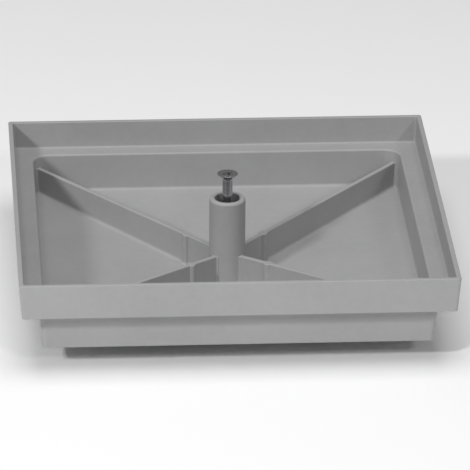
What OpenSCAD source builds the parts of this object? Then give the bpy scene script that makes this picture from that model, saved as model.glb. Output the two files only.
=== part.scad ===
// Square moulded drip pan with a dished floor, four diagonal ribs and a hollow
// centre post that a long countersunk screw passes down.
// Millimetres, +Z up. The origin is on the surface that the pan stands on,
// straight below the screw's axis.

/* [Rim] */
// Width of the pan across the top of the rim
rim_w = 250; // [200:1:330]
// How far each outer face leans in from top to bottom
rim_lean = 1.7; // [0:0.1:4]
// Wall thickness of the rim
rim_wall = 2.8; // [1.5:0.1:5]
// How far each inner face leans in from the top down to the ledge
rim_inner_lean = 0.6; // [0:0.1:2]
// How far the rim's outer face reaches below the ledge
rim_lip = 1.6; // [0.4:0.1:8]

/* [Ledge] */
// Depth of the ledge below the top of the rim
ledge_drop = 16.4; // [8:0.1:30]
// Width of the ledge, from the rim's inner face to the mouth of the well
ledge_w = 11; // [5:0.1:30]
// Thickness of the ledge
ledge_t = 3; // [1.5:0.1:6]

/* [Well] */
// How far each wall of the well leans in from its mouth down to the floor
well_lean = 1.2; // [0:0.1:4]
// Radius of the well's vertical corners, inside
well_corner_r = 10; // [4:0.5:25]
// Radius of the well's vertical corners, outside
well_outer_r = 3.5; // [1:0.5:12]
// Wall thickness of the well
well_wall = 2.8; // [1.5:0.1:5]
// Depth from the ledge to the floor, at the walls
well_depth = 22.6; // [12:0.1:40]
// How far the well's walls reach below the underside of the floor
skirt_drop = 2; // [0.2:0.1:10]
// Thickness of the floor
floor_t = 2.8; // [1.5:0.1:6]
// How far the floor falls from the walls to the middle
floor_fall = 15; // [4:0.5:24]

/* [Ribs] */
// Thickness of each rib
rib_t = 2.8; // [1:0.1:4]
// Depth of a rib's top below the ledge, at its corner of the well
rib_drop = 6.5; // [2:0.1:10]
// How far a rib's top falls from the corner of the well to the middle
rib_fall = 11.6; // [0:0.1:16]
// Diameter of the round pad on each rib
pad_d = 5.6; // [3:0.1:7]
// Distance of each pad from the screw's axis
pad_reach = 31.8; // [18:0.1:60]

/* [Centre post] */
// Wall thickness of the post round its wide bore
post_wall = 3; // [2:0.1:8]
// Height of the post's top above the top of the rim
post_proud = 0; // [-5:0.1:10]
// Radius of the rounded edge round the post's top
post_edge_r = 1.5; // [0.2:0.1:1.8]
// Depth of the wide bore, from the post's top to the seat of the screw's head
head_bore_depth = 12.35; // [4:0.05:24]

/* [Feet] */
// Diameter of each foot
foot_d = 14; // [8:0.5:24]
// Distance of each foot from the middle, along X and along Y
foot_reach = 67; // [30:0.5:80]
// Gap between the lowest part of the floor and the surface that the pan stands on
ground_gap = 0.2; // [0.2:0.1:6]

/* [Screw] */
// Shank diameter
screw_d = 6; // [4:0.1:7.2]
// Length of the screw that stands in the insert, while the head is raised
screw_hold = 7.3; // [2:0.1:9]
// Diameter of the head
head_d = 12.1; // [10.2:0.1:18]
// Height of the straight edge round the head
head_edge = 0.4; // [0.2:0.1:1]
// Height of the head's top above the post's top, as it stands
screw_raise = 15.3; // [5:0.1:30]
// Width of each wing of the cross recess
cross_w = 1.3; // [0.8:0.1:2]
// Length across the cross recess
cross_l = 6.8; // [4:0.1:8]
// Depth of the cross recess
cross_depth = 2.4; // [1:0.1:3]

/* [Threaded insert] */
// Wall thickness of the insert
insert_wall = 1.65; // [1:0.05:3]
// Length of the insert
insert_len = 9; // [5:0.1:14]
// Depth of the insert's lower end inside the foot of the post
insert_inset = 0.6; // [0.2:0.1:2]

/* [Retaining ring] */
// Thickness of the ring's round section
ring_t = 1.9; // [1:0.1:2.4]
// Depth of the ring's middle below the foot of the head's seat
ring_below = 4.05; // [1:0.05:20]

/* [Fits] */
// Clearance round the screw's head in the post's wide bore
head_gap = 1.5; // [0.2:0.1:6]
// Clearance round the screw's shank in the insert and in the ring
screw_gap = 0.05; // [0.02:0.01:0.1]
// Clearance between the ring and the wall of its bore
ring_gap = 0.05; // [0.02:0.01:0.1]
// Clearance round the screw's head where it comes down on its seat
seat_gap = 0.05; // [0.02:0.01:0.2]

/* [Hidden] */
EPS = 0.01;
OVER = 1;
TURNED_FN = 64;
CORNER_FN = 32;
ARC_STEPS = 6;
SLOPE_REACH = 4;

MOULDING = [0.58, 0.58, 0.585];
BRASS = [0.78, 0.62, 0.32];
RUBBER = [0.08, 0.08, 0.09];
STEEL = [0.36, 0.36, 0.38];

rim_half = rim_w / 2;
inner_top = rim_half - rim_wall;
inner_low = inner_top - rim_inner_lean;
lip_half = rim_half - rim_lean - rim_wall;
well_half = inner_low - ledge_w;
floor_half = well_half - well_lean;
head_r = head_d / 2;
head_bore_r = head_r + head_gap;
post_r = head_bore_r + post_wall;
shank_r = screw_d / 2;
sleeve_r = shank_r + screw_gap;
insert_r = sleeve_r + insert_wall;
ring_r = sleeve_r + ring_t;
ring_bore_r = ring_r + ring_gap;

// Heights, from the surface that the pan stands on.
floor_mid_z = ground_gap + floor_t;
floor_wall_z = floor_mid_z + floor_fall;
ledge_z = floor_wall_z + well_depth;
rim_z = ledge_z + ledge_drop;
rim_base_z = ledge_z - ledge_t - rim_lip;
skirt_z = floor_wall_z - floor_t - skirt_drop;
rib_corner_z = ledge_z - rib_drop;
rib_mid_z = rib_corner_z - rib_fall;
post_z = rim_z + post_proud;
seat_z = post_z - head_bore_depth;
seat_r = head_r + seat_gap;
seat_foot_z = seat_z - (seat_r - ring_bore_r);
ring_z = seat_foot_z - ring_below;
insert_top_z = insert_inset + insert_len;
screw_z = post_z + screw_raise;
screw_tip_z = insert_top_z - screw_hold;

// The well's walls keep one lean all the way down.
function well_half_at(z) = well_half - well_lean * (ledge_z - z) / well_depth;

// A square block whose sides lean: half widths at the bottom and at the top.
module leaning_block(low_half, high_half, low_z, high_z) {
  a = low_half;
  b = high_half;
  polyhedron(
    points = [
      [-a, -a, low_z], [a, -a, low_z], [a, a, low_z], [-a, a, low_z],
      [-b, -b, high_z], [b, -b, high_z], [b, b, high_z], [-b, b, high_z]
    ],
    faces = [
      [0, 1, 2, 3], [7, 6, 5, 4], [0, 4, 5, 1],
      [1, 5, 6, 2], [2, 6, 7, 3], [3, 7, 4, 0]
    ]
  );
}

// A square block with leaning sides and rounded vertical corners of radius r.
// grow widens it all round, from the inside of the well's walls to their outside.
module well_block(low_z, high_z, grow, r) {
  low = well_half_at(low_z) + grow - r;
  high = well_half_at(high_z) + grow - r;
  hull() {
    for (x = [-1, 1], y = [-1, 1]) {
      translate([x * low, y * low, low_z])
        cylinder(r = r, h = EPS, $fn = CORNER_FN);
      translate([x * high, y * high, high_z - EPS])
        cylinder(r = r, h = EPS, $fn = CORNER_FN);
    }
  }
}

// Everything above a dish of four flat faces that meet at mid_z in the middle.
module above_dish(mid_z) {
  reach = floor_half * SLOPE_REACH;
  top = mid_z + floor_fall * SLOPE_REACH;
  polyhedron(
    points = [
      [0, 0, mid_z],
      [-reach, -reach, top], [reach, -reach, top], [reach, reach, top], [-reach, reach, top]
    ],
    faces = [[4, 3, 2, 1], [0, 1, 2], [0, 2, 3], [0, 3, 4], [0, 4, 1]]
  );
}

// The upright rim and the flat ledge inside it, with the opening for the well.
module rim_frame() {
  color(MOULDING)
    difference() {
      leaning_block(rim_half - rim_lean, rim_half, rim_base_z, rim_z);
      leaning_block(inner_low, inner_top + EPS, ledge_z, rim_z + EPS);
      leaning_block(lip_half, lip_half, rim_base_z - OVER, ledge_z - ledge_t);
      well_block(rim_base_z - OVER, ledge_z + OVER, well_wall, well_outer_r);
    }
}

// The walls of the well and its dished floor.
module well() {
  color(MOULDING)
    difference() {
      union() {
        difference() {
          well_block(skirt_z, ledge_z, well_wall, well_outer_r);
          well_block(skirt_z - OVER, ledge_z + OVER, 0, well_corner_r);
        }
        difference() {
          intersection() {
            above_dish(floor_mid_z - floor_t);
            well_block(-OVER, floor_wall_z, well_wall / 2, well_corner_r);
          }
          above_dish(floor_mid_z);
        }
      }
      translate([0, 0, -OVER])
        cylinder(r = post_r, h = post_z + OVER, $fn = TURNED_FN);
    }
}

// One rib, from the post out to a corner of the well; turn is the direction of
// that corner. Its foot follows the floor and its top falls to the middle.
module rib(turn) {
  reach = well_half * sqrt(2);
  color(MOULDING)
    difference() {
      intersection() {
        union() {
          rotate([0, 0, turn])
            rotate([90, 0, 0])
              translate([0, 0, -rib_t / 2])
                linear_extrude(height = rib_t)
                  polygon([[0, 0], [reach, 0], [reach, rib_corner_z], [0, rib_mid_z]]);
          rotate([0, 0, turn])
            translate([pad_reach, 0, 0])
              cylinder(d = pad_d, h = rib_mid_z + rib_fall * pad_reach / reach, $fn = CORNER_FN);
        }
        above_dish(floor_mid_z);
        well_block(skirt_z - OVER - floor_fall, ledge_z + OVER, 0, well_corner_r);
      }
      translate([0, 0, -OVER])
        cylinder(r = post_r, h = post_z + OVER, $fn = TURNED_FN);
    }
}

// The hollow post: a wide bore for the screw's head, its seat, a narrower bore
// for the shank and the ring, and the pocket for the insert.
module centre_post() {
  edge = [
    for (i = [0:ARC_STEPS])
      let (a = 90 * i / ARC_STEPS)
        [post_r - post_edge_r + post_edge_r * cos(a), post_z - post_edge_r + post_edge_r * sin(a)]
  ];
  color(MOULDING)
    rotate_extrude($fn = TURNED_FN)
      polygon(concat(
        [[insert_r, 0], [post_r, 0]],
        edge,
        [
          [head_bore_r, post_z], [head_bore_r, seat_z],
          [seat_r, seat_z], [ring_bore_r, seat_foot_z],
          [ring_bore_r, insert_top_z], [insert_r, insert_top_z]
        ]
      ));
}

// One foot under the floor, level with the foot of the post.
module foot(x, y) {
  color(MOULDING)
    difference() {
      translate([x * foot_reach, y * foot_reach, 0])
        cylinder(d = foot_d, h = floor_wall_z, $fn = TURNED_FN);
      above_dish(floor_mid_z - floor_t);
    }
}

// The brass insert that the screw turns in, with a groove round its middle.
module threaded_insert() {
  groove = 0.4;
  third = insert_len / 3;
  color(BRASS)
    translate([0, 0, insert_inset])
      rotate_extrude($fn = TURNED_FN)
        polygon([
          [sleeve_r, 0], [insert_r, 0],
          [insert_r, third], [insert_r - groove, third + groove],
          [insert_r - groove, 2 * third - groove], [insert_r, 2 * third],
          [insert_r, insert_len], [sleeve_r, insert_len]
        ]);
}

// The rubber ring on the screw's shank that keeps the loose screw in the post.
module retaining_ring() {
  color(RUBBER)
    translate([0, 0, ring_z])
      rotate_extrude($fn = TURNED_FN)
        translate([sleeve_r + ring_t / 2, 0])
          circle(d = ring_t, $fn = CORNER_FN);
}

// The countersunk screw, standing raised in the post.
module fixing_screw() {
  tip_chamfer = 1;
  cone_top_z = screw_z - head_edge;
  cone_foot_z = cone_top_z - (head_r - shank_r);
  color(STEEL)
    difference() {
      rotate_extrude($fn = TURNED_FN)
        polygon([
          [0, screw_tip_z], [shank_r - tip_chamfer, screw_tip_z],
          [shank_r, screw_tip_z + tip_chamfer],
          [shank_r, cone_foot_z], [head_r, cone_top_z],
          [head_r, screw_z], [0, screw_z]
        ]);
      for (turn = [0, 90])
        rotate([0, 0, turn])
          translate([-cross_l / 2, -cross_w / 2, screw_z - cross_depth])
            cube([cross_l, cross_w, cross_depth + OVER]);
    }
}

rim_frame();
well();
rib(225);  // rib_front_left
rib(315);  // rib_front_right
rib(135);  // rib_rear_left
rib(45);  // rib_rear_right
centre_post();
foot(-1, -1);  // foot_front_left
foot(1, -1);  // foot_front_right
foot(-1, 1);  // foot_rear_left
foot(1, 1);  // foot_rear_right
threaded_insert();
retaining_ring();
fixing_screw();
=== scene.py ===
"""Square moulded oil drain pan with a raised fixing screw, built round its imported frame."""

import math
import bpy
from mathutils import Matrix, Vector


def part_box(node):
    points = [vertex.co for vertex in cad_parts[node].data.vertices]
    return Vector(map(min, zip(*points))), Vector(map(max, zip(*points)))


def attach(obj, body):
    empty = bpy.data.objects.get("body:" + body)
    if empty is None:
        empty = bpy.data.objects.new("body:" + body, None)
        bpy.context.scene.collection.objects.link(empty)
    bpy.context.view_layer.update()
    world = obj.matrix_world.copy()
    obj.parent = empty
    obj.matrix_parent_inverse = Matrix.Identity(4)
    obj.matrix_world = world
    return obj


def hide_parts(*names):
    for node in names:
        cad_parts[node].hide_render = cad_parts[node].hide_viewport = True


bl_info = {
    "name": "Oil Drain Pan",
    "version": (1, 0, 0),
    "blender": (4, 5, 0),
    "location": "3D View > Sidebar > Drain Pan",
    "description": "Builds a square moulded drain pan, its fixing screw and a plain studio",
    "category": "Add Mesh",
}

from collections import namedtuple

import bmesh
import bpy
from bpy.props import FloatProperty, FloatVectorProperty, IntProperty, PointerProperty
from bpy.types import Operator, Panel, PropertyGroup
from mathutils import Matrix, Quaternion, Vector

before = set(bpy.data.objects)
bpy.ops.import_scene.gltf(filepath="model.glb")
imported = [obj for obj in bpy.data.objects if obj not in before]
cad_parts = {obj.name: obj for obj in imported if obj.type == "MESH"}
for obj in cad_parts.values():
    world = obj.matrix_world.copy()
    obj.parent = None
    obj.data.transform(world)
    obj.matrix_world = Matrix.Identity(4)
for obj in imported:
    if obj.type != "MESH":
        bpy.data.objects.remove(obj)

MM = 0.001
WELD = 0.001 * MM
SHARP_ANGLE = math.radians(38)
QUADRANTS = [(1, 1), (-1, 1), (-1, -1), (1, -1)]
CORNERS = {"rear_right": 45, "rear_left": 135, "front_left": 225, "front_right": 315}

# A hair's breadth, which keeps two surfaces from lying in one place.
HAIR = 0.01 * MM
# The short straight stretch left beside a rounding.
LAND = 0.1 * MM
FINE_BEVEL = 0.2 * MM
# How far the post's flange and the feet reach up into the floor.
BURIED = 0.3 * MM
# How far the edge of the floor's hole lies inside the post's outer face, and the flange's thickness.
HOLE_INSET = 2.5 * MM
FLANGE = 1 * MM
# How far a rib's ends reach into the post and the wall, and its foot into the floor.
RIB_END_BURIED = 1.5 * MM
RIB_FOOT_BURIED = 1.2 * MM

# Roundings of the screw under its cone, and at the lower and upper edges round its head.
NECK_ROUND = 0.5 * MM
HEAD_LOWER_ROUND = 0.06 * MM
HEAD_UPPER_ROUND = 0.12 * MM
# The bars that cut the cross recess: their turns in degrees, how they narrow downwards, and how far
# they stand above the head.
WING_TURNS = (20, 110)
WING_TAPER = (0.42, 0.7, 1)
WING_ABOVE = 0.5 * MM
# The thread's ridge: how far it reaches into the core, and half its width at foot and crest as
# shares of the pitch.
THREAD_TURN_STEPS = 32
THREAD_BURIED = 0.1 * MM
THREAD_FOOT_SHARE = 0.46
THREAD_CREST_SHARE = 0.07
INSERT_GROOVE = 0.4 * MM
KNURL_TEETH = 48

# Most of a noise's values lie between these two.
NOISE_RANGE = (0.3, 0.7)

# Bearings of the lamps from the pan.
LEFT_LAMP = (-1, -1.02, 0.93)
RIGHT_LAMP = (1, -1.67, 1.19)
TOP_LAMP = (0, -0.18, 1)
# In metres, except the sensor's width, which is in millimetres.
GROUND_RADIUS = 40
VIEW_DEPTH = 200
SENSOR_WIDTH = 36
# The point that the camera looks at.
AIM = (4.0 * MM, -8.8 * MM, 36.9 * MM)

# A square loop with rounded corners: half its side, its corners' radius, its height and the rounding
# or fillet that it is given as an edge.
Ring = namedtuple("Ring", "half corner z rounding")
# A place along a rib: how far from the axis its foot and its top are, and half its thickness there.
Station = namedtuple("Station", "foot top half")


def metres(name, description, default):
    """A length property, in metres."""
    return FloatProperty(
        name=name, description=description, default=default, min=0, subtype="DISTANCE", unit="LENGTH"
    )


def millimetres(name, description, default):
    """A length property, given in millimetres and kept in metres."""
    return metres(name, description, default * MM)


def degrees(name, description, default):
    """An angle property, given in degrees and kept in radians."""
    return FloatProperty(
        name=name, description=description, default=math.radians(default),
        subtype="ANGLE", unit="ROTATION",
    )


def watts(name, description, default):
    """A power property, in watts."""
    return FloatProperty(
        name=name, description=description, default=default, min=0, subtype="POWER", unit="POWER"
    )


def steps(name, description, default, fewest, most):
    """A property that counts faces."""
    return IntProperty(name=name, description=description, default=default, min=fewest, max=most)


def colour(name, description, default):
    """A colour property."""
    return FloatVectorProperty(
        name=name, description=description, default=default, min=0, max=1, size=3, subtype="COLOR"
    )


# ---------------------------------------------------------------- settings


class DrainPanTraySizes(PropertyGroup):
    """Sizes of the moulded tray that its frame's boxes don't give"""

    rim_wall: millimetres("Rim wall", "Thickness of the upright rim", 2.8)
    rim_lean: millimetres("Rim lean", "Lean of the rim's outer face down to its foot", 1.7)
    rim_inner_lean: millimetres("Rim inner lean", "Lean of the rim's inner face down to the ledge", 0.6)
    rim_corner: millimetres("Rim corner", "Radius of the rim's outer corners, seen from above", 1.6)
    rim_inner_corner: millimetres("Rim inner corner", "Radius of the rim's inner corners", 1.5)
    ledge_thickness: millimetres("Ledge thickness", "Thickness of the ledge", 3.0)
    well_wall: millimetres("Well wall", "Thickness of the well's walls", 2.8)
    well_lean: millimetres("Well lean", "How far the well's walls lean in down to the floor", 1.2)
    well_depth: millimetres("Well depth", "Depth from the ledge to the floor at the walls", 22.6)
    well_corner: millimetres("Well corner", "Inner radius of the well's upright corners", 10.0)
    outer_corner: millimetres("Outer corner", "Outer radius of the well's upright corners", 3.5)
    floor_thickness: millimetres("Floor thickness", "Thickness of the dished floor", 2.8)
    floor_fall: millimetres("Floor fall", "How far the floor falls from the walls to the middle", 15.0)
    skirt_drop: millimetres("Skirt drop", "How far the walls reach below the floor's underside", 2.0)
    edge_round: millimetres("Edge round", "Rounding of the tray's outer edges", 0.55)
    inner_fillet: millimetres("Inner fillet", "Fillet where the rim meets the ledge", 1.1)
    mouth_round: millimetres("Mouth round", "Rounding of the well's mouth", 1.2)
    floor_fillet: millimetres("Floor fillet", "Fillet where the walls meet the floor", 1.6)
    corner_steps: steps("Corner steps", "Faces round each upright corner", 12, 2, 32)
    edge_steps: steps("Edge steps", "Faces across each rounded edge", 4, 1, 8)


class DrainPanRibSizes(PropertyGroup):
    """Sizes of the ribs, the post and the feet"""

    thickness: millimetres("Rib thickness", "Thickness of each rib", 2.8)
    drop: millimetres("Rib drop", "Depth of a rib's top below the ledge at the corner", 6.5)
    fall: millimetres("Rib fall", "How far a rib's top falls from the corner to the middle", 11.6)
    fillet: millimetres("Rib fillet", "Fillet along both sides of a rib's foot", 2.0)
    top_round: millimetres("Rib top round", "Rounding of a rib's top edges", 0.6)
    pad_diameter: millimetres("Pad diameter", "Diameter of the round pad on each rib", 5.6)
    pad_reach: millimetres("Pad reach", "Distance of each pad from the screw's axis", 31.8)
    post_wall: millimetres("Post wall", "Wall of the post round its wide bore", 3.0)
    post_round: millimetres("Post round", "Rounding of the post's top edge", 1.5)
    post_fillet: millimetres("Post fillet", "Fillet where the post meets the floor", 1.6)
    bore_depth: millimetres("Bore depth", "Depth of the post's wide bore", 12.35)
    foot_round: millimetres("Foot round", "Rounding of each foot's lower edge", 0.9)


class DrainPanScrewSizes(PropertyGroup):
    """Sizes of the screw, its insert and its ring"""

    shank: millimetres("Shank", "Diameter of the shank and of the thread's crests", 6.0)
    root: millimetres("Thread root", "Diameter of the core under the thread", 4.77)
    pitch: millimetres("Pitch", "Advance of the thread for each turn", 1.0)
    thread_length: millimetres("Thread length", "Length of the thread from the tip", 35.2)
    head_edge: millimetres("Head edge", "Height of the straight edge round the head", 0.4)
    cross_width: millimetres("Cross width", "Width of each wing of the cross recess", 1.3)
    cross_length: millimetres("Cross length", "Length across the cross recess", 6.8)
    cross_depth: millimetres("Cross depth", "Depth of the cross recess", 2.4)
    running_gap: millimetres("Running gap", "Clearance round the shank", 0.05)
    knurl_depth: millimetres("Knurl depth", "Depth of the knurl round the insert", 0.18)


class DrainPanFinishes(PropertyGroup):
    """Colours of the finishes"""

    moulding: colour("Moulding", "Mid grey of the moulded plastic", (0.36, 0.36, 0.365))
    steel: colour("Steel", "Plated steel of the screw", (0.58, 0.58, 0.59))
    brass: colour("Brass", "Brass of the insert", (0.78, 0.60, 0.30))
    rubber: colour("Rubber", "Black rubber of the ring", (0.03, 0.03, 0.032))
    ground: colour("Ground", "Pale studio floor", (0.96, 0.96, 0.96))


class DrainPanStudio(PropertyGroup):
    """Camera and lights"""

    lens: FloatProperty(
        name="Lens", description="Focal length of the camera", default=422.4, min=1,
        subtype="DISTANCE_CAMERA", unit="CAMERA",
    )
    distance: metres("Distance", "From the camera to the point it looks at", 3.219)
    elevation: degrees("Elevation", "Height of the camera above the horizon", 23.03)
    yaw: degrees("Yaw", "How far the camera stands to the left of straight in front", 3.71)
    roll: degrees("Roll", "Turn of the camera about its own line of sight", 0.42)
    ambient: FloatProperty(
        name="Ambient", description="Strength of the even light from all round", default=0.2, min=0
    )
    left_power: watts("Left power", "Power of the lamp on the left", 20)
    right_power: watts("Right power", "Power of the lamp on the right", 6.6)
    top_power: watts("Top power", "Power of the wide lamp overhead", 25)
    lamp_distance: metres("Lamp distance", "From each lamp to the pan", 2.2)
    lamp_width: metres("Lamp width", "Width of each side lamp", 0.2)
    top_width: metres("Top lamp width", "Width of the overhead lamp", 1.5)


# ---------------------------------------------------------------- mesh helpers


def ends_of(edges):
    """The vertices at the ends of these edges, each once."""
    return list({vert for edge in edges for vert in edge.verts})


def only(kind, geometry):
    """The vertices, edges or faces among what an operator returned."""
    return [item for item in geometry if isinstance(item, kind)]


def rounded(bm, geometry, affect, size, segments):
    """Rounds these corners of a flat outline (VERTICES), or these edges (EDGES)."""
    bmesh.ops.bevel(
        bm, geom=geometry, offset=size, offset_type="OFFSET", segments=segments, profile=0.5,
        affect=affect, clamp_overlap=True, material=-1,
    )


def outline(bm, corners, segments):
    """A loop of edges through these (point, rounding) corners, with each corner rounded."""
    verts = [bm.verts.new(point) for point, _ in corners]
    bm.faces.new(verts)
    for vert, (_, rounding) in zip(verts, corners):
        if rounding > 0:
            rounded(bm, [vert], "VERTICES", rounding, segments)
    bmesh.ops.delete(bm, geom=bm.faces[:], context="FACES_ONLY")
    return bm.edges[:]


def full_turn(bm, turn_steps):
    """Spins everything in the mesh once round the screw's axis."""
    bmesh.ops.spin(
        bm, geom=bm.verts[:] + bm.edges[:], cent=(0, 0, 0), axis=(0, 0, 1), dvec=(0, 0, 0),
        angle=math.tau, steps=turn_steps, use_merge=True,
    )


def turned(corners, segments, turn_steps):
    """A mesh turned round Z from (radius, height, rounding) corners, solid where they meet the axis."""
    bm = bmesh.new()
    edges = outline(bm, [(Vector((r, 0, z)), rounding) for r, z, rounding in corners], segments)
    on_axis = [edge for edge in edges if all(vert.co.x < WELD for vert in edge.verts)]
    bmesh.ops.delete(bm, geom=on_axis, context="EDGES")
    full_turn(bm, turn_steps)
    bmesh.ops.remove_doubles(bm, verts=bm.verts[:], dist=WELD)
    return bm


def swivelled(bm, angle, axis):
    """Turns everything in the mesh about one of the main axes."""
    bmesh.ops.rotate(bm, verts=bm.verts[:], cent=(0, 0, 0), matrix=Matrix.Rotation(angle, 3, axis))


def finish_piece(bm, name, body, paint, nodes):
    """Makes a finished mesh a piece that rides on a body and stands for CAD nodes."""
    bmesh.ops.recalc_face_normals(bm, faces=bm.faces[:])
    for face in bm.faces:
        face.smooth = True
    for edge in bm.edges:
        edge.smooth = edge.calc_face_angle(0) < SHARP_ANGLE
    mesh = bpy.data.meshes.new(name)
    bm.to_mesh(mesh)
    bm.free()
    mesh.materials.append(painted(paint))
    piece = bpy.data.objects.new(name, mesh)
    bpy.context.scene.collection.objects.link(piece)
    even = piece.modifiers.new("Even normals", "WEIGHTED_NORMAL")
    even.keep_sharp = True
    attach(piece, body)
    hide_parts(*nodes)


# ---------------------------------------------------------------- tray


def first_ring(bm, ring, segments):
    """A square loop of edges with rounded corners."""
    made = bmesh.ops.create_grid(bm, x_segments=1, y_segments=1, size=ring.half)
    bmesh.ops.translate(bm, verts=made["verts"], vec=(0, 0, ring.z))
    for vert in made["verts"]:
        rounded(bm, [vert], "VERTICES", ring.corner, segments)
    bmesh.ops.delete(bm, geom=bm.faces[:], context="FACES_ONLY")
    return bm.edges[:]


def next_ring(bm, edges, old, new):
    """Draws a ring's edges out into the next ring, quadrant by quadrant."""
    made = bmesh.ops.extrude_edge_only(bm, edges=edges)["geom"]
    verts = only(bmesh.types.BMVert, made)
    tighter = new.corner / old.corner
    for x, y in QUADRANTS:
        corner = [vert for vert in verts if vert.co.x * x > 0 and vert.co.y * y > 0]
        old_centre = Vector((x * (old.half - old.corner), y * (old.half - old.corner), old.z))
        new_centre = Vector((x * (new.half - new.corner), y * (new.half - new.corner), new.z))
        about = Matrix.Translation(-old_centre)
        bmesh.ops.scale(bm, verts=corner, vec=(tighter, tighter, 1), space=about)
        bmesh.ops.translate(bm, verts=corner, vec=new_centre - old_centre)
    return only(bmesh.types.BMEdge, made)


def diagonal_reach(ring):
    """How far a ring's rounded corner lies from the middle."""
    return (ring.half - ring.corner) * math.sqrt(2) + ring.corner


def well_half_at(tray, z):
    """Half the inner width of the well at a height; its walls keep one lean."""
    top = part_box("well")[1]
    return top.x - tray.well_wall - tray.well_lean * (top.z - z) / tray.well_depth


def floor_rings(tray):
    """The ring where the floor meets the walls, and the one round the hole that the post fills."""
    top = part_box("well")[1]
    wall_z = top.z - tray.well_depth
    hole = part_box("centre_post")[1].x - HOLE_INSET
    wall = Ring(well_half_at(tray, wall_z), tray.well_corner, wall_z, tray.floor_fillet)
    hole_z = wall_z - tray.floor_fall * (1 - hole / wall.half)
    return wall, Ring(hole, hole - LAND, hole_z, 0)


def tray_rings(tray):
    """The rings of the tray's cross-section, from the rim's outer top edge inwards and back outside."""
    rim_low, rim_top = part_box("rim_frame")
    ledge_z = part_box("well")[1].z
    under_z = ledge_z - tray.ledge_thickness
    wall, hole = floor_rings(tray)
    under_wall_z = wall.z - tray.floor_thickness
    skirt_z = under_wall_z - tray.skirt_drop
    inner_top = rim_top.x - tray.rim_wall
    foot = rim_top.x - tray.rim_lean
    lip = foot - tray.rim_wall
    edge = tray.edge_round
    return [
        Ring(rim_top.x, tray.rim_corner, rim_top.z, edge),
        Ring(inner_top, tray.rim_inner_corner, rim_top.z, edge),
        Ring(inner_top - tray.rim_inner_lean, tray.rim_inner_corner, ledge_z, tray.inner_fillet),
        Ring(well_half_at(tray, ledge_z), tray.well_corner, ledge_z, tray.mouth_round),
        wall,
        hole,
        Ring(hole.half, hole.corner, hole.z - tray.floor_thickness, 0),
        Ring(well_half_at(tray, under_wall_z), tray.well_corner, under_wall_z, edge),
        Ring(well_half_at(tray, skirt_z), tray.well_corner, skirt_z, edge / 2),
        Ring(well_half_at(tray, skirt_z) + tray.well_wall, tray.outer_corner, skirt_z, edge),
        Ring(well_half_at(tray, under_z) + tray.well_wall, tray.outer_corner, under_z, tray.inner_fillet),
        Ring(lip, tray.rim_inner_corner, under_z, edge / 2),
        Ring(lip, tray.rim_inner_corner, rim_low.z, edge / 2),
        Ring(foot, tray.rim_corner, rim_low.z, edge),
    ]


class DRAINPAN_OT_tray_shell(Operator):
    """Moulds the rim, the ledge, the well and the dished floor as one closed shell"""

    bl_idname = "drain_pan.tray_shell"
    bl_label = "Tray Shell"

    def execute(self, context):
        tray = context.scene.drain_pan_tray
        rings = tray_rings(tray)
        bm = bmesh.new()
        label = bm.verts.layers.int.new("ring")
        edges = first_ring(bm, rings[0], tray.corner_steps)
        for count, ring in enumerate(rings[1:] + rings[:1], start=1):
            for vert in ends_of(edges):
                vert[label] = count
            edges = next_ring(bm, edges, rings[count - 1], ring)
        for vert in ends_of(edges):
            vert[label] = 1
        bmesh.ops.remove_doubles(bm, verts=bm.verts[:], dist=WELD)
        for count, ring in enumerate(rings, start=1):
            if ring.rounding > 0:
                loop = [edge for edge in bm.edges if {vert[label] for vert in edge.verts} == {count}]
                rounded(bm, loop, "EDGES", ring.rounding, tray.edge_steps)
        bm.verts.layers.int.remove(label)
        finish_piece(bm, "tray_shell", "pan", moulded_grey_plastic, ["rim_frame", "well"])
        return {"FINISHED"}


# ---------------------------------------------------------------- ribs, post and feet


def rib_foot_z(tray, reach):
    """Height of a rib's foot, this far from the middle; it is sunk a hair into the dished floor."""
    wall, hole = floor_rings(tray)
    hole_reach = diagonal_reach(hole)
    share = (reach - hole_reach) / (diagonal_reach(wall) - hole_reach)
    return hole.z + (wall.z - hole.z) * share - HAIR


def rib_top_z(tray, ribs, reach):
    """Height of a rib's top, this far from the middle."""
    ledge_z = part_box("well")[1].z
    full_reach = well_half_at(tray, ledge_z) * math.sqrt(2)
    return ledge_z - ribs.drop - ribs.fall * (1 - reach / full_reach)


def rib_flare(size):
    """How a rib widens at its ends: (distance from the end, extra half thickness), from the widest."""
    segments = 4
    angles = [math.radians(90 * step / segments) for step in range(segments + 1)]
    return [(size * (1 - math.cos(angle)), size * (1 - math.sin(angle))) for angle in angles]


def pad_stations(ribs):
    """The stations where a rib swells out round its pad."""
    radius = ribs.pad_diameter / 2
    first = math.asin(ribs.thickness / 2 / radius)
    segments = 8
    stations = []
    for step in range(segments + 1):
        angle = first + (math.pi - 2 * first) * step / segments
        reach = ribs.pad_reach - radius * math.cos(angle)
        stations.append(Station(reach, reach, radius * math.sin(angle)))
    return stations


def rib_stations(tray, ribs):
    """Where a rib's thickness changes on its way from inside the post to inside the wall."""
    half = ribs.thickness / 2
    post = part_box("centre_post")[1].x
    wall, _ = floor_rings(tray)
    top_wall = Ring(well_half_at(tray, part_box("well")[1].z - ribs.drop), tray.well_corner, 0, 0)
    foot_end, top_end = diagonal_reach(wall), diagonal_reach(top_wall)
    size = ribs.top_round * 2
    flare = rib_flare(size)
    stations = [Station(post - RIB_END_BURIED, post - RIB_END_BURIED, half + size)]
    stations += [Station(post + along, post + along, half + out) for along, out in flare]
    stations += pad_stations(ribs)
    stations += [Station(foot_end - along, top_end - along, half + out) for along, out in reversed(flare)]
    stations.append(Station(foot_end + RIB_END_BURIED, top_end + RIB_END_BURIED, half + size))
    return stations


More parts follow.
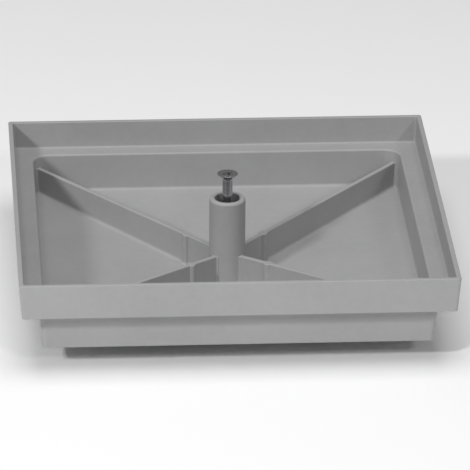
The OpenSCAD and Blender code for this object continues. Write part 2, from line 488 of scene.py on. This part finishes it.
def rib_section(bm, ribs, station, low, high):
    """The outline of a rib's cross-section at a station, with its foot's fillets and its rounded top."""
    at, half = station.foot, station.half
    side = half + ribs.fillet + HAIR
    bottom = low - RIB_FOOT_BURIED
    corners = [
        ((at, -side, bottom), 0), ((at, side, bottom), 0),
        ((at, side, low), 0), ((at, half, low), ribs.fillet),
        ((at, half, high), ribs.top_round), ((at, -half, high), ribs.top_round),
        ((at, -half, low), ribs.fillet), ((at, -side, low), 0),
    ]
    return outline(bm, corners, segments=4)


def rib(tray, ribs):
    """One rib, drawn along +X from the post to the wall."""
    stations = rib_stations(tray, ribs)
    low, high = rib_foot_z(tray, stations[0].foot), rib_top_z(tray, ribs, stations[0].top)
    bm = bmesh.new()
    edges = rib_section(bm, ribs, stations[0], low, high)
    bmesh.ops.contextual_create(bm, geom=edges)
    for old, new in zip(stations, stations[1:]):
        new_low, new_high = rib_foot_z(tray, new.foot), rib_top_z(tray, ribs, new.top)
        made = bmesh.ops.extrude_edge_only(bm, edges=edges)["geom"]
        verts = only(bmesh.types.BMVert, made)
        edges = only(bmesh.types.BMEdge, made)
        upper = [vert for vert in verts if vert.co.z > (low + high) / 2]
        lower = [vert for vert in verts if vert.co.z <= (low + high) / 2]
        for sign in (-1, 1):
            flank = [vert for vert in verts if vert.co.y * sign > 0]
            bmesh.ops.translate(bm, verts=flank, vec=(0, sign * (new.half - old.half), 0))
        bmesh.ops.translate(bm, verts=upper, vec=(new.top - old.top, 0, new_high - high))
        bmesh.ops.translate(bm, verts=lower, vec=(new.foot - old.foot, 0, new_low - low))
        low, high = new_low, new_high
    bmesh.ops.contextual_create(bm, geom=edges)
    return bm


class DRAINPAN_OT_ribs(Operator):
    """Moulds the diagonal ribs with their pads and fillets"""

    bl_idname = "drain_pan.ribs"
    bl_label = "Ribs"

    def execute(self, context):
        for corner, turn in CORNERS.items():
            bm = rib(context.scene.drain_pan_tray, context.scene.drain_pan_ribs)
            swivelled(bm, math.radians(turn), "Z")
            name, node = f"moulded_rib_{corner}", f"rib_{corner}"
            finish_piece(bm, name, "pan", moulded_grey_plastic, [node])
        return {"FINISHED"}


class DRAINPAN_OT_post(Operator):
    """Turns the hollow centre post, with the screw's bores and seat"""

    bl_idname = "drain_pan.post"
    bl_label = "Centre Post"

    def execute(self, context):
        ribs, screw = context.scene.drain_pan_ribs, context.scene.drain_pan_screw
        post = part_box("centre_post")[1]
        insert_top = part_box("threaded_insert")[1]
        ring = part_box("retaining_ring")[1].x + screw.running_gap
        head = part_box("fixing_screw")[1].x + screw.running_gap
        _, hole = floor_rings(context.scene.drain_pan_tray)
        foot_z = hole.z + BURIED
        flange = post.x + ribs.post_fillet + LAND
        inner = post.x - ribs.post_wall
        seat_z = post.z - ribs.bore_depth
        corners = [
            (insert_top.x, 0, FINE_BEVEL), (post.x, 0, FINE_BEVEL * 2), (post.x, foot_z - 2 * FLANGE, 0),
            (flange, foot_z - FLANGE, 0), (flange, foot_z, 0), (post.x, foot_z, ribs.post_fillet),
            (post.x, post.z, ribs.post_round), (inner, post.z, FINE_BEVEL * 2),
            (inner, seat_z, FINE_BEVEL), (head, seat_z, FINE_BEVEL),
            (ring, seat_z - (head - ring), FINE_BEVEL), (ring, insert_top.z, 0),
            (insert_top.x, insert_top.z, 0),
        ]
        bm = turned(corners, segments=5, turn_steps=96)
        finish_piece(bm, "hollow_post", "pan", moulded_grey_plastic, ["centre_post"])
        return {"FINISHED"}


class DRAINPAN_OT_feet(Operator):
    """Moulds the round feet under the floor"""

    bl_idname = "drain_pan.feet"
    bl_label = "Feet"

    def execute(self, context):
        ribs = context.scene.drain_pan_ribs
        for corner in CORNERS:
            low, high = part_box(f"foot_{corner}")
            radius = (high.x - low.x) / 2
            top_z = high.z + BURIED
            corners = [(0, 0, 0), (radius, 0, ribs.foot_round), (radius, top_z, 0), (0, top_z, 0)]
            bm = turned(corners, segments=4, turn_steps=64)
            centre = ((low.x + high.x) / 2, (low.y + high.y) / 2, 0)
            bmesh.ops.translate(bm, verts=bm.verts[:], vec=centre)
            name, node = f"moulded_foot_{corner}", f"foot_{corner}"
            finish_piece(bm, name, "pan", moulded_grey_plastic, [node])
        return {"FINISHED"}


# ---------------------------------------------------------------- screw, insert and ring


def cut_away(bm, cutter):
    """The mesh of one bmesh with another cut out of it; both are used up."""
    pieces = []
    for source in (bm, cutter):
        bmesh.ops.recalc_face_normals(source, faces=source.faces[:])
        mesh = bpy.data.meshes.new("cutting")
        source.to_mesh(mesh)
        source.free()
        piece = bpy.data.objects.new("cutting", mesh)
        bpy.context.scene.collection.objects.link(piece)
        pieces.append(piece)
    blank, tool = pieces
    cut = blank.modifiers.new("Cut", "BOOLEAN")
    cut.operation = "DIFFERENCE"
    cut.solver = "EXACT"
    cut.object = tool
    result = bmesh.new()
    result.from_object(blank, bpy.context.evaluated_depsgraph_get())
    for piece in pieces:
        mesh = piece.data
        bpy.data.objects.remove(piece)
        bpy.data.meshes.remove(mesh)
    return result


def recess_wing(screw, top_z, turn):
    """A tapered bar that cuts two wings of the cross recess."""
    bm = bmesh.new()
    made = bmesh.ops.create_cube(bm, size=1)["verts"]
    height = screw.cross_depth + WING_ABOVE
    bmesh.ops.scale(bm, verts=made, vec=(screw.cross_length, screw.cross_width, height))
    lower = [vert for vert in made if vert.co.z < 0]
    bmesh.ops.scale(bm, verts=lower, vec=WING_TAPER)
    bmesh.ops.translate(bm, verts=made, vec=(0, 0, top_z + WING_ABOVE - height / 2))
    swivelled(bm, math.radians(turn), "Z")
    return bm


def thread_ridge(bm, screw, start_z):
    """Adds a right-hand thread round the core, as a ridge wound upwards from start_z."""
    turns = (screw.thread_length - 2 * screw.pitch) / screw.pitch
    foot = screw.root / 2 - THREAD_BURIED
    crest = screw.shank / 2 - HAIR
    half_foot, half_crest = THREAD_FOOT_SHARE * screw.pitch, THREAD_CREST_SHARE * screw.pitch
    section = [
        (foot, start_z - half_foot), (crest, start_z - half_crest),
        (crest, start_z + half_crest), (foot, start_z + half_foot),
    ]
    face = bm.faces.new([bm.verts.new((r, 0, z)) for r, z in section])
    bmesh.ops.spin(
        bm, geom=list(face.verts) + list(face.edges) + [face], cent=(0, 0, 0), axis=(0, 0, 1),
        dvec=(0, 0, screw.pitch / THREAD_TURN_STEPS), angle=math.tau * turns,
        steps=round(turns * THREAD_TURN_STEPS),
    )


class DRAINPAN_OT_screw(Operator):
    """Turns the countersunk screw, cuts its cross recess and winds its thread"""

    bl_idname = "drain_pan.screw"
    bl_label = "Screw"

    def execute(self, context):
        screw = context.scene.drain_pan_screw
        low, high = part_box("fixing_screw")
        shank, root = screw.shank / 2, screw.root / 2
        cone_top = high.z - screw.head_edge
        cone_foot = cone_top - (high.x - shank)
        thread_end = low.z + screw.thread_length
        step = shank - root
        corners = [
            (0, low.z, 0), (root - step, low.z, 0), (root, low.z + step, 0),
            (root, thread_end, 0), (shank, thread_end + step, 0), (shank, cone_foot, NECK_ROUND),
            (high.x, cone_top, HEAD_LOWER_ROUND), (high.x, high.z, HEAD_UPPER_ROUND), (0, high.z, 0),
        ]
        bm = turned(corners, segments=3, turn_steps=96)
        for turn in WING_TURNS:
            bm = cut_away(bm, recess_wing(screw, high.z, turn))
        thread_ridge(bm, screw, low.z + screw.pitch)
        finish_piece(bm, "countersunk_screw", "screw", plated_steel, ["fixing_screw"])
        return {"FINISHED"}


class DRAINPAN_OT_insert(Operator):
    """Turns the brass insert and knurls its two bands"""

    bl_idname = "drain_pan.insert"
    bl_label = "Insert"

    def execute(self, context):
        screw = context.scene.drain_pan_screw
        low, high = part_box("threaded_insert")
        bore = screw.shank / 2 + screw.running_gap
        third = (high.z - low.z) / 3
        waist = high.x - INSERT_GROOVE
        corners = [
            (bore, low.z, FINE_BEVEL), (high.x, low.z, FINE_BEVEL), (high.x, low.z + third, 0),
            (waist, low.z + third + INSERT_GROOVE, 0), (waist, high.z - third - INSERT_GROOVE, 0),
            (high.x, high.z - third, 0), (high.x, high.z, FINE_BEVEL), (bore, high.z, FINE_BEVEL),
        ]
        bm = turned(corners, segments=2, turn_steps=2 * KNURL_TEETH)
        step = math.pi / KNURL_TEETH
        bands = [vert for vert in bm.verts if vert.co.xy.length > high.x - FINE_BEVEL]
        valleys = [vert for vert in bands if round(math.atan2(vert.co.y, vert.co.x) / step) % 2]
        shrink = 1 - screw.knurl_depth / high.x
        bmesh.ops.scale(bm, verts=valleys, vec=(shrink, shrink, 1))
        finish_piece(bm, "brass_insert", "pan", turned_brass, ["threaded_insert"])
        return {"FINISHED"}


class DRAINPAN_OT_ring(Operator):
    """Moulds the rubber ring that keeps the screw in the post"""

    bl_idname = "drain_pan.ring"
    bl_label = "Retaining Ring"

    def execute(self, context):
        screw = context.scene.drain_pan_screw
        low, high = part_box("retaining_ring")
        inner = screw.shank / 2 + screw.running_gap
        radius = (high.x - inner) / 2
        bm = bmesh.new()
        bmesh.ops.create_circle(bm, segments=24, radius=radius)
        swivelled(bm, math.pi / 2, "X")
        bmesh.ops.translate(bm, verts=bm.verts[:], vec=(inner + radius, 0, (low.z + high.z) / 2))
        full_turn(bm, turn_steps=64)
        finish_piece(bm, "rubber_ring", "screw_ring", black_rubber, ["retaining_ring"])
        return {"FINISHED"}


# ---------------------------------------------------------------- finishes


def painted(paint):
    """The material that one of the finishes below paints; it is made when it is first asked for."""
    name = paint.__name__.replace("_", " ")
    known = bpy.data.materials.get(name)
    if known:
        return known
    material = bpy.data.materials.new(name)
    material.use_nodes = True
    tree = material.node_tree
    paint(tree, tree.nodes["Principled BSDF"], bpy.context.scene.drain_pan_finishes)
    return material


def place(tree, kind, **inputs):
    """A node of this kind, with its inputs set by name."""
    node = tree.nodes.new(kind)
    for name, value in inputs.items():
        node.inputs[name.replace("_", " ").title()].default_value = value
    return node


def noise(tree, scale, detail, roughness=0.5):
    """Noise over the piece's own place, with this many features to a metre."""
    position = tree.nodes.get("Position") or tree.nodes.new("ShaderNodeTexCoord")
    position.name = "Position"
    node = place(tree, "ShaderNodeTexNoise", scale=scale, detail=detail, roughness=roughness)
    tree.links.new(position.outputs["Object"], node.inputs["Vector"])
    return node.outputs["Fac"]


def spread(tree, source, low, high):
    """A value between low and high that follows a noise."""
    least, most = NOISE_RANGE
    node = place(tree, "ShaderNodeMapRange", from_min=least, from_max=most, to_min=low, to_max=high)
    tree.links.new(source, node.inputs["Value"])
    return node.outputs["Result"]


def product(tree, first, second):
    """Two values multiplied."""
    node = tree.nodes.new("ShaderNodeMath")
    node.operation = "MULTIPLY"
    tree.links.new(first, node.inputs[0])
    tree.links.new(second, node.inputs[1])
    return node.outputs[0]


def tint(tree, shader, base, factor):
    """Gives the shader a base colour that is made lighter or darker by a factor."""
    node = tree.nodes.new("ShaderNodeVectorMath")
    node.operation = "SCALE"
    node.inputs[0].default_value = tuple(base)
    tree.links.new(factor, node.inputs["Scale"])
    tree.links.new(node.outputs["Vector"], shader.inputs["Base Color"])


def roughen(tree, shader, source, low, high):
    """Gives the shader a roughness between low and high that follows a noise."""
    tree.links.new(spread(tree, source, low, high), shader.inputs["Roughness"])


def bump(tree, shader, heights):
    """Gives the shader a surface with (height, distance, strength) layers of bumps."""
    normal = None
    for height, distance, strength in heights:
        node = place(tree, "ShaderNodeBump", strength=strength, distance=distance)
        tree.links.new(height, node.inputs["Height"])
        if normal:
            tree.links.new(normal, node.inputs["Normal"])
        normal = node.outputs["Normal"]
    tree.links.new(normal, shader.inputs["Normal"])


def moulded_grey_plastic(tree, shader, finishes):
    """Matt grey plastic with a fine mould grain, faint flow marks and small changes of tone."""
    flow = spread(tree, noise(tree, scale=28, detail=3), 0.965, 1.03)
    mottle = spread(tree, noise(tree, scale=240, detail=4, roughness=0.6), 0.975, 1.02)
    grain = noise(tree, scale=2600, detail=2, roughness=0.6)
    speck = spread(tree, grain, 0.985, 1.012)
    swell = noise(tree, scale=60, detail=1)
    tint(tree, shader, finishes.moulding, product(tree, product(tree, flow, mottle), speck))
    roughen(tree, shader, noise(tree, scale=90, detail=3), 0.5, 0.6)
    bump(tree, shader, [(swell, 0.3 * MM, 0.12), (grain, 0.05 * MM, 0.35)])
    shader.inputs["IOR"].default_value = 1.5
    shader.inputs["Specular IOR Level"].default_value = 0.4


def plated_steel(tree, shader, finishes):
    """Bright plated steel with fine turning marks and a broken film of oil."""
    tint(tree, shader, finishes.steel, spread(tree, noise(tree, scale=420, detail=3), 0.9, 1.04))
    roughen(tree, shader, noise(tree, scale=420, detail=2), 0.16, 0.24)
    bump(tree, shader, [(noise(tree, scale=3600, detail=2), 0.01 * MM, 0.03)])
    shader.inputs["Metallic"].default_value = 1.0


def turned_brass(tree, shader, finishes):
    """Turned brass, a little dull."""
    tint(tree, shader, finishes.brass, spread(tree, noise(tree, scale=700, detail=4), 0.82, 1.08))
    roughen(tree, shader, noise(tree, scale=1800, detail=3), 0.28, 0.42)
    bump(tree, shader, [(noise(tree, scale=4200, detail=2), 0.02 * MM, 0.3)])
    shader.inputs["Metallic"].default_value = 1.0


def black_rubber(tree, shader, finishes):
    """Black rubber with a dusty bloom."""
    tint(tree, shader, finishes.rubber, spread(tree, noise(tree, scale=1100, detail=3), 0.8, 1.7))
    roughen(tree, shader, noise(tree, scale=2500, detail=2), 0.5, 0.7)
    bump(tree, shader, [(noise(tree, scale=6000, detail=2), 0.02 * MM, 0.3)])


def studio_ground(tree, shader, finishes):
    """A pale, even studio floor."""
    tint(tree, shader, finishes.ground, spread(tree, noise(tree, scale=3, detail=2), 0.995, 1.005))
    shader.inputs["Roughness"].default_value = 0.9
    shader.inputs["Specular IOR Level"].default_value = 0.1


# ---------------------------------------------------------------- studio


def lay_ground():
    """A wide, flat floor that the pan stands on."""
    bm = bmesh.new()
    bmesh.ops.create_circle(bm, cap_ends=True, segments=96, radius=GROUND_RADIUS)
    mesh = bpy.data.meshes.new("ground")
    bm.to_mesh(mesh)
    bm.free()
    mesh.materials.append(painted(studio_ground))
    ground = bpy.data.objects.new("ground", mesh)
    bpy.context.scene.collection.objects.link(ground)


def even_light(strength):
    """A white world that lights the pan from all round."""
    world = bpy.data.worlds.new("even light")
    world.use_nodes = True
    background = world.node_tree.nodes["Background"]
    background.inputs["Color"].default_value = (1, 1, 1, 1)
    background.inputs["Strength"].default_value = strength
    bpy.context.scene.world = world


def lamp(name, bearing, distance, size, power):
    """A square soft lamp, out along a bearing and turned to the pan."""
    position = Vector(bearing).normalized() * distance
    light = bpy.data.lights.new(name, "AREA")
    light.shape = "SQUARE"
    light.size = size
    light.energy = power
    holder = bpy.data.objects.new(name, light)
    holder.location = position
    holder.rotation_mode = "QUATERNION"
    holder.rotation_quaternion = (-position).to_track_quat("-Z", "Y")
    bpy.context.scene.collection.objects.link(holder)


def stand_camera(studio):
    """A long lens that looks down at the pan from in front, a little to the left."""
    back = Vector((
        -math.sin(studio.yaw) * math.cos(studio.elevation),
        -math.cos(studio.yaw) * math.cos(studio.elevation),
        math.sin(studio.elevation),
    ))
    lens = bpy.data.cameras.new("camera")
    lens.sensor_width = SENSOR_WIDTH
    lens.lens = studio.lens
    lens.clip_end = VIEW_DEPTH
    camera = bpy.data.objects.new("camera", lens)
    camera.location = Vector(AIM) + back * studio.distance
    camera.rotation_mode = "QUATERNION"
    camera.rotation_quaternion = (-back).to_track_quat("-Z", "Y") @ Quaternion((0, 0, 1), studio.roll)
    bpy.context.scene.collection.objects.link(camera)
    bpy.context.scene.camera = camera


class DRAINPAN_OT_studio(Operator):
    """Lays the pale floor and sets the lamps, the even light and the camera"""

    bl_idname = "drain_pan.studio"
    bl_label = "Studio"

    def execute(self, context):
        studio = context.scene.drain_pan_studio
        lay_ground()
        even_light(studio.ambient)
        lamp("left lamp", LEFT_LAMP, studio.lamp_distance, studio.lamp_width, studio.left_power)
        lamp("right lamp", RIGHT_LAMP, studio.lamp_distance, studio.lamp_width, studio.right_power)
        lamp("top lamp", TOP_LAMP, studio.lamp_distance, studio.top_width, studio.top_power)
        stand_camera(studio)
        context.scene.view_settings.view_transform = "Standard"
        return {"FINISHED"}


# ---------------------------------------------------------------- panel and registration

OPERATORS = [
    DRAINPAN_OT_tray_shell,
    DRAINPAN_OT_ribs,
    DRAINPAN_OT_post,
    DRAINPAN_OT_feet,
    DRAINPAN_OT_insert,
    DRAINPAN_OT_ring,
    DRAINPAN_OT_screw,
    DRAINPAN_OT_studio,
]
SETTINGS = {
    "drain_pan_tray": DrainPanTraySizes,
    "drain_pan_ribs": DrainPanRibSizes,
    "drain_pan_screw": DrainPanScrewSizes,
    "drain_pan_finishes": DrainPanFinishes,
    "drain_pan_studio": DrainPanStudio,
}


class DRAINPAN_PT_panel(Panel):
    """Lists the drain pan's settings and the buttons that build it"""

    bl_idname = "DRAINPAN_PT_panel"
    bl_label = "Drain Pan"
    bl_space_type = "VIEW_3D"
    bl_region_type = "UI"
    bl_category = "Drain Pan"

    def draw(self, context):
        for name, group in SETTINGS.items():
            settings = getattr(context.scene, name)
            box = self.layout.box()
            for key in group.__annotations__:
                box.prop(settings, key)
        for operator in OPERATORS:
            self.layout.operator(operator.bl_idname)


def register():
    """Registers the settings, the operators and the panel."""
    for name, group in SETTINGS.items():
        bpy.utils.register_class(group)
        setattr(bpy.types.Scene, name, PointerProperty(type=group))
    for kind in OPERATORS + [DRAINPAN_PT_panel]:
        bpy.utils.register_class(kind)


def unregister():
    """Removes what register added."""
    for kind in reversed(OPERATORS + [DRAINPAN_PT_panel]):
        bpy.utils.unregister_class(kind)
    for name, group in SETTINGS.items():
        delattr(bpy.types.Scene, name)
        bpy.utils.unregister_class(group)


def main():
    """Builds every piece and the studio."""
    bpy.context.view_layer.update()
    register()
    bpy.ops.drain_pan.tray_shell()
    bpy.ops.drain_pan.ribs()
    bpy.ops.drain_pan.post()
    bpy.ops.drain_pan.feet()
    bpy.ops.drain_pan.insert()
    bpy.ops.drain_pan.ring()
    bpy.ops.drain_pan.screw()
    bpy.ops.drain_pan.studio()


if __name__ == "__main__":
    main()
